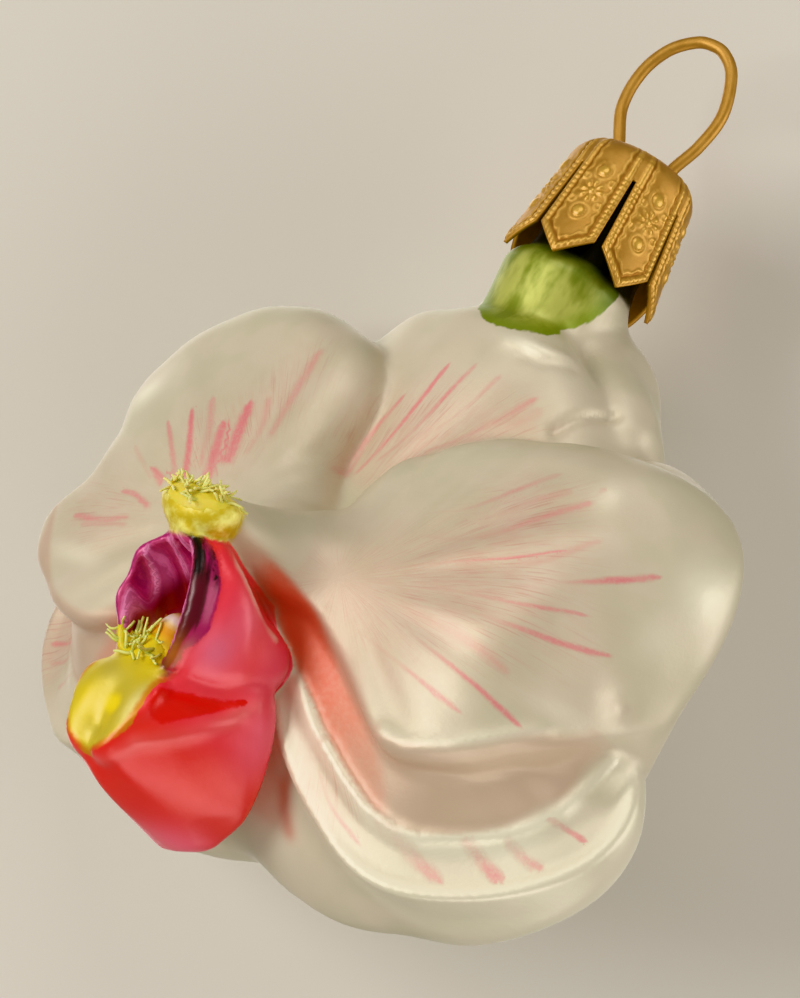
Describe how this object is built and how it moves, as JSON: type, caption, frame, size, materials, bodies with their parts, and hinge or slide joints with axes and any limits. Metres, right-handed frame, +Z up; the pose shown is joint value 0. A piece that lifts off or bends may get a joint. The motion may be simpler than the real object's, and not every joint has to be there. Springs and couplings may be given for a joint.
{
  "type": "blown glass orchid ornament",
  "caption": "Hanging blown-glass ornament shaped as a moth orchid flower, with two rounded petals, a cupped lip, fibre tufts, a fluted metal cap and a wire loop.",
  "frame": {"origin": "inside of the top of the wire loop, where a hook or thread carries the ornament", "axes": "+Z up as it hangs, along the neck; -Y is the way the flower faces; +X to the right of someone looking at the flower"},
  "size_m": [0.0687, 0.0481, 0.0931],
  "materials": {
    "lacquered_glass": "opaque pearl lacquer with satin sheen, hand painted pink, coral, purple, yellow and green",
    "gilt_cap": "stamped, satin gold",
    "gilt_wire": "satin gold wire",
    "pale_fibre": "short glued fibres, matte",
    "green_fibre": "short glued fibres, matte"
  },
  "bodies": {
    "root": {"glass_flower": "lacquered_glass", "crown_cap": "gilt_cap", "wire_hanger": "gilt_wire", "column_fibres": "pale_fibre", "lip_fibres": "green_fibre"}
  },
  "joints": []
}
